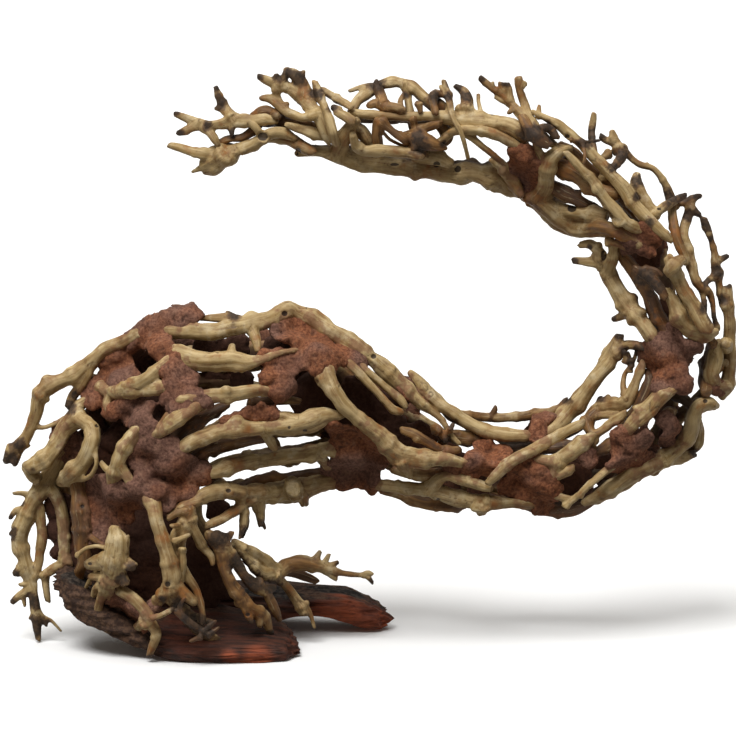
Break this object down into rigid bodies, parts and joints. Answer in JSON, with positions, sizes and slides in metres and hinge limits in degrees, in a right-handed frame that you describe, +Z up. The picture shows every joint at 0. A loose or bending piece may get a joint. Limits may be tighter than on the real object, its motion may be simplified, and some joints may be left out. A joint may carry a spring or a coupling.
{
  "type": "dry root",
  "caption": "S-shaped piece of dry root driftwood: many azalea roots glued with wood-dust paste into a hollow curving bundle that stands on slabs of red wood.",
  "frame": {"origin": "centre of the part's box, at the level it stands on", "axes": "+X to the right along the S, +Y to the back, +Z up; the front is -Y"},
  "size_m": [0.4048, 0.1242, 0.3237],
  "materials": {
    "pale_root_wood": "dry peeled root wood, tan, matt, with darker cracks and charred tips",
    "brown_root_wood": "dry root wood stained brown, matt",
    "wood_dust_paste": "rough red-brown wood dust set in glue, matt",
    "red_slab_wood": "split red-brown wood with a grey-brown weathered top, matt"
  },
  "bodies": {
    "root": {"front_slab": "red_slab_wood", "back_slab": "red_slab_wood", "left_arm_root": "pale_root_wood", "left_antler_root": "pale_root_wood", "knot_root": "pale_root_wood", "splinter_fork_root": "pale_root_wood", "y_root": "pale_root_wood", "stained_column_root": "brown_root_wood", "front_column_root": "pale_root_wood", "pale_knotty_root": "pale_root_wood", "ring_root": "pale_root_wood", "crook_root": "pale_root_wood", "stump_leg_root": "brown_root_wood", "hand_root": "pale_root_wood", "crest_root": "pale_root_wood", "upper_band_root": "pale_root_wood", "middle_band_root": "pale_root_wood", "splinter_band_root": "pale_root_wood", "pointed_root": "pale_root_wood", "lower_band_root": "pale_root_wood", "keel_root": "pale_root_wood", "flared_root": "pale_root_wood", "long_peeled_root": "pale_root_wood", "back_edge_root": "brown_root_wood", "keel_middle_root": "pale_root_wood", "diagonal_root": "pale_root_wood", "yellow_root": "pale_root_wood", "tall_branch_root": "pale_root_wood", "knobby_root": "pale_root_wood", "dark_edge_root": "brown_root_wood", "amber_root": "pale_root_wood", "sweep_root": "pale_root_wood", "outer_rim_root": "pale_root_wood", "fork_branch_root": "pale_root_wood", "dark_column_root": "brown_root_wood", "rosette_root": "pale_root_wood", "flared_block_root": "pale_root_wood", "right_twig_root": "pale_root_wood", "crown_loop_root": "pale_root_wood", "long_straight_root": "pale_root_wood", "second_straight_root": "pale_root_wood", "knotted_spur_root": "pale_root_wood", "under_bend_root": "pale_root_wood", "brown_bridge_root": "brown_root_wood", "crown_twig_root": "pale_root_wood", "arm_lower_root": "pale_root_wood", "arm_upper_root": "pale_root_wood", "arch_root": "pale_root_wood", "tip_upper_root": "pale_root_wood", "tip_lower_root": "pale_root_wood", "tip_fan_root": "pale_root_wood", "stump_back_root": "pale_root_wood", "trunk_crest_back_root": "pale_root_wood", "trunk_back_root": "pale_root_wood", "bend_back_root": "pale_root_wood", "stump_paste": "wood_dust_paste", "trunk_paste": "wood_dust_paste", "middle_paste": "wood_dust_paste", "bend_paste": "wood_dust_paste", "crown_paste": "wood_dust_paste"}
  },
  "joints": []
}
